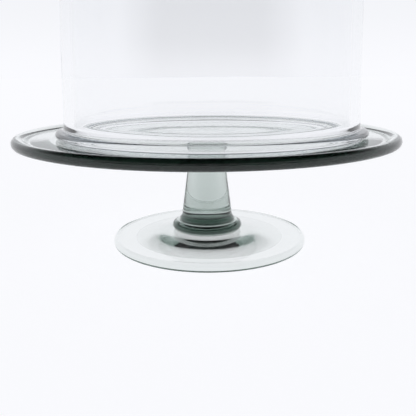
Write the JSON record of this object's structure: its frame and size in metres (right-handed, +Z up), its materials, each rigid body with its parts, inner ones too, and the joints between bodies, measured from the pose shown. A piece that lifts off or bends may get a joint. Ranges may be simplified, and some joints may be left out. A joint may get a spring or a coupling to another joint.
{
  "type": "cake stand with dome",
  "caption": "Footed glass cake stand: a flat plate with an upturned rim on a tapered stem and round foot, covered by a loose glass dome with a ball knob.",
  "frame": {"origin": "on the plate's axis, in the plane that the foot rests on, which is the bottom centre of the whole object's box", "axes": "+Z up along the stem's axis; +X to the right of the pictured side, +Y away from it"},
  "size_m": [0.29, 0.29, 0.3076],
  "materials": {
    "stand_glass": "polished, pale smoke-grey with a green cast in thick parts",
    "dome_glass": "polished, nearly colourless, faintly cool"
  },
  "bodies": {
    "stand": {"foot": "stand_glass", "lower_collar": "stand_glass", "stem": "stand_glass", "upper_collar": "stand_glass", "plate": "stand_glass"},
    "cover": {"dome": "dome_glass", "knob_collar": "dome_glass", "knob": "dome_glass"}
  },
  "joints": [
    {"name": "dome_lift", "type": "slide", "parent": "stand", "child": "cover", "axis": [0, 0, 1], "range_m": [0, 0.25]}
  ]
}
